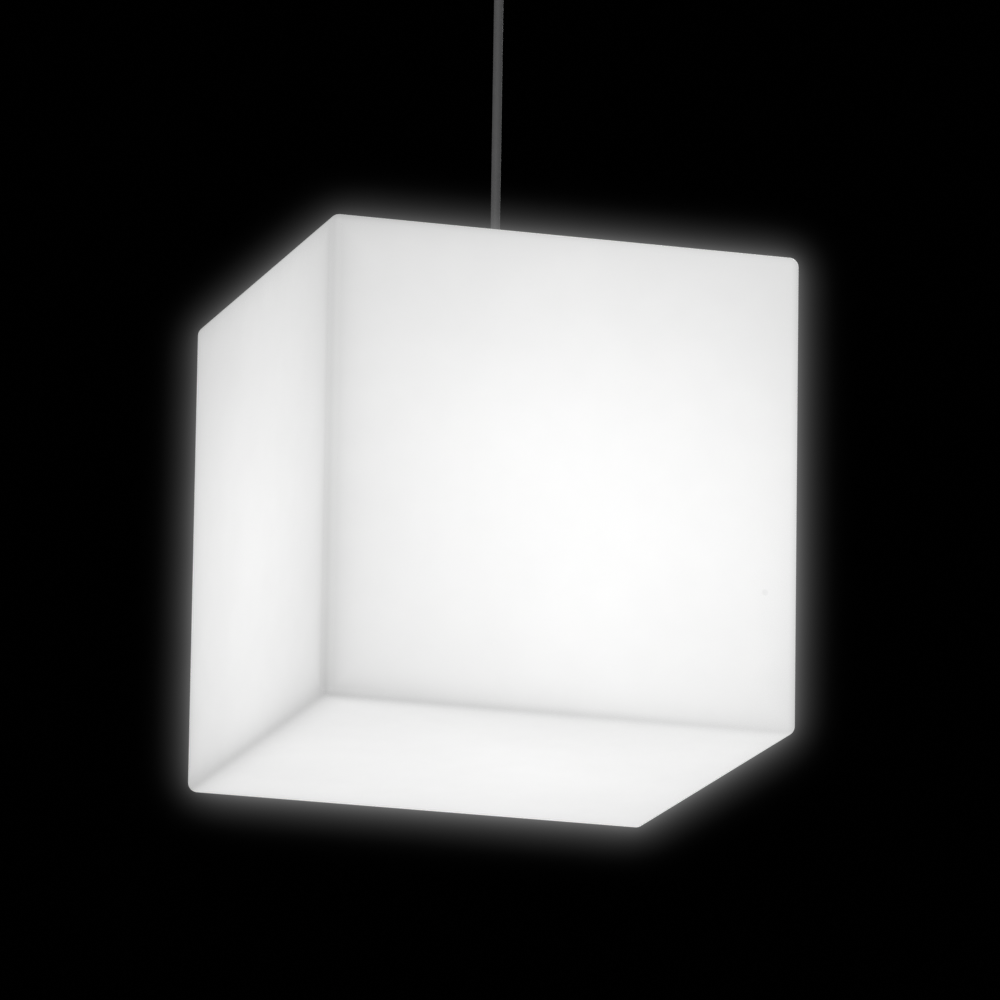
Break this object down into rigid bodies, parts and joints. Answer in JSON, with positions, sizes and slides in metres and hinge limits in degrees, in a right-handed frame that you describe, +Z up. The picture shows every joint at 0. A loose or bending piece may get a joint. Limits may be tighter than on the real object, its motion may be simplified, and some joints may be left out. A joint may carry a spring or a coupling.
{
  "type": "cube pendant light",
  "caption": "Glowing hollow cube with softly rounded edges that hangs from a ceiling canopy on one grey cord.",
  "frame": {"origin": "middle of the ceiling bracket's upper face, where it lies against the ceiling", "axes": "+Z points up into the ceiling, +X along the ceiling bracket; the cube's sides face along X and Y"},
  "size_m": [0.4, 0.4, 0.763],
  "materials": {
    "shell_polyethylene": "satin, translucent, lit from inside",
    "cover_plastic": "satin",
    "canopy_plastic": "satin",
    "cord_rubber": "matt",
    "seal_rubber": "matt",
    "gland_plastic": "satin",
    "stainless_steel": "brushed",
    "zinc_steel": "zinc plated",
    "brass": "machined",
    "terminal_nylon": "semi-gloss",
    "holder_plastic": "moulded, semi-gloss",
    "ceramic": "glazed ceramic",
    "bulb_insulator_glass": "gloss",
    "nickel": "nickel plated",
    "bulb_plastic": "satin",
    "board_aluminium": "white solder mask",
    "opal_plastic": "opal, lit from inside",
    "lead_brown": "semi-gloss",
    "lead_blue": "semi-gloss",
    "lead_green_yellow": "semi-gloss, two colours"
  },
  "bodies": {
    "bracket": {"ceiling_bracket": "zinc_steel", "bracket_studs": "zinc_steel", "stud_locknuts": "zinc_steel"},
    "canopy": {"canopy_cup": "canopy_plastic", "canopy_rim_gasket": "seal_rubber", "stud_seals": "seal_rubber", "dome_nuts": "stainless_steel", "canopy_gland_washer": "seal_rubber", "canopy_gland_body": "gland_plastic", "canopy_gland_seal": "seal_rubber", "canopy_gland_nut": "gland_plastic", "canopy_gland_locknut": "gland_plastic", "canopy_cord_stop": "gland_plastic", "canopy_cord_stop_screw": "zinc_steel", "canopy_cord_tail": "cord_rubber", "terminal_block": "terminal_nylon", "terminal_bars": "brass", "terminal_clamp_screws": "zinc_steel", "terminal_block_screws": "zinc_steel", "canopy_lead_live": "lead_brown", "canopy_lead_neutral": "lead_blue", "canopy_lead_earth": "lead_green_yellow"},
    "cord": {"cord": "cord_rubber"},
    "lamp": {"cover_plate": "cover_plastic", "cover_gasket": "seal_rubber", "cover_screws": "stainless_steel", "cover_screw_seals": "seal_rubber", "lamp_gland_washer": "seal_rubber", "lamp_gland_body": "gland_plastic", "lamp_gland_seal": "seal_rubber", "lamp_gland_nut": "gland_plastic", "lamp_gland_locknut": "gland_plastic", "lamp_cord_stop": "gland_plastic", "lamp_cord_stop_screw": "zinc_steel", "lamp_cord_tail": "cord_rubber", "drop_bracket": "zinc_steel", "drop_bracket_screws": "zinc_steel", "earth_terminal": "brass", "earth_screw": "zinc_steel", "holder_nipple": "zinc_steel", "holder_toothed_washer": "zinc_steel", "holder_nipple_nut": "zinc_steel", "holder_cap": "holder_plastic", "holder_body": "holder_plastic", "holder_core": "ceramic", "holder_terminals": "brass", "holder_terminal_screws": "zinc_steel", "screw_shell": "brass", "centre_contact": "brass", "lamp_lead_live": "lead_brown", "lamp_lead_neutral": "lead_blue", "lamp_lead_earth": "lead_green_yellow"},
    "bulb": {"bulb_contact": "zinc_steel", "bulb_insulator": "bulb_insulator_glass", "bulb_cap": "nickel", "bulb_body": "bulb_plastic", "bulb_board": "board_aluminium", "bulb_globe": "opal_plastic"},
    "diffuser": {"diffuser_shell": "shell_polyethylene", "diffuser_inserts": "brass"}
  },
  "joints": [
    {"name": "canopy_drop", "type": "slide", "parent": "bracket", "child": "canopy", "axis": [0, 0, -1], "range_m": [0, 0.055]},
    {"name": "cord_swing", "type": "hinge", "parent": "canopy", "child": "cord", "pos_m": [0, 0, -0.0705], "axis": [0, 1, 0], "range_deg": [-25, 25]},
    {"name": "lamp_tilt", "type": "hinge", "parent": "cord", "child": "lamp", "pos_m": [0, 0, -0.3405], "axis": [1, 0, 0], "range_deg": [-20, 20]},
    {"name": "bulb_out", "type": "slide", "parent": "lamp", "child": "bulb", "axis": [0, 0, -1], "range_m": [0, 0.08]},
    {"name": "diffuser_lower", "type": "slide", "parent": "lamp", "child": "diffuser", "axis": [0, 0, -1], "range_m": [0, 0.3]}
  ]
}
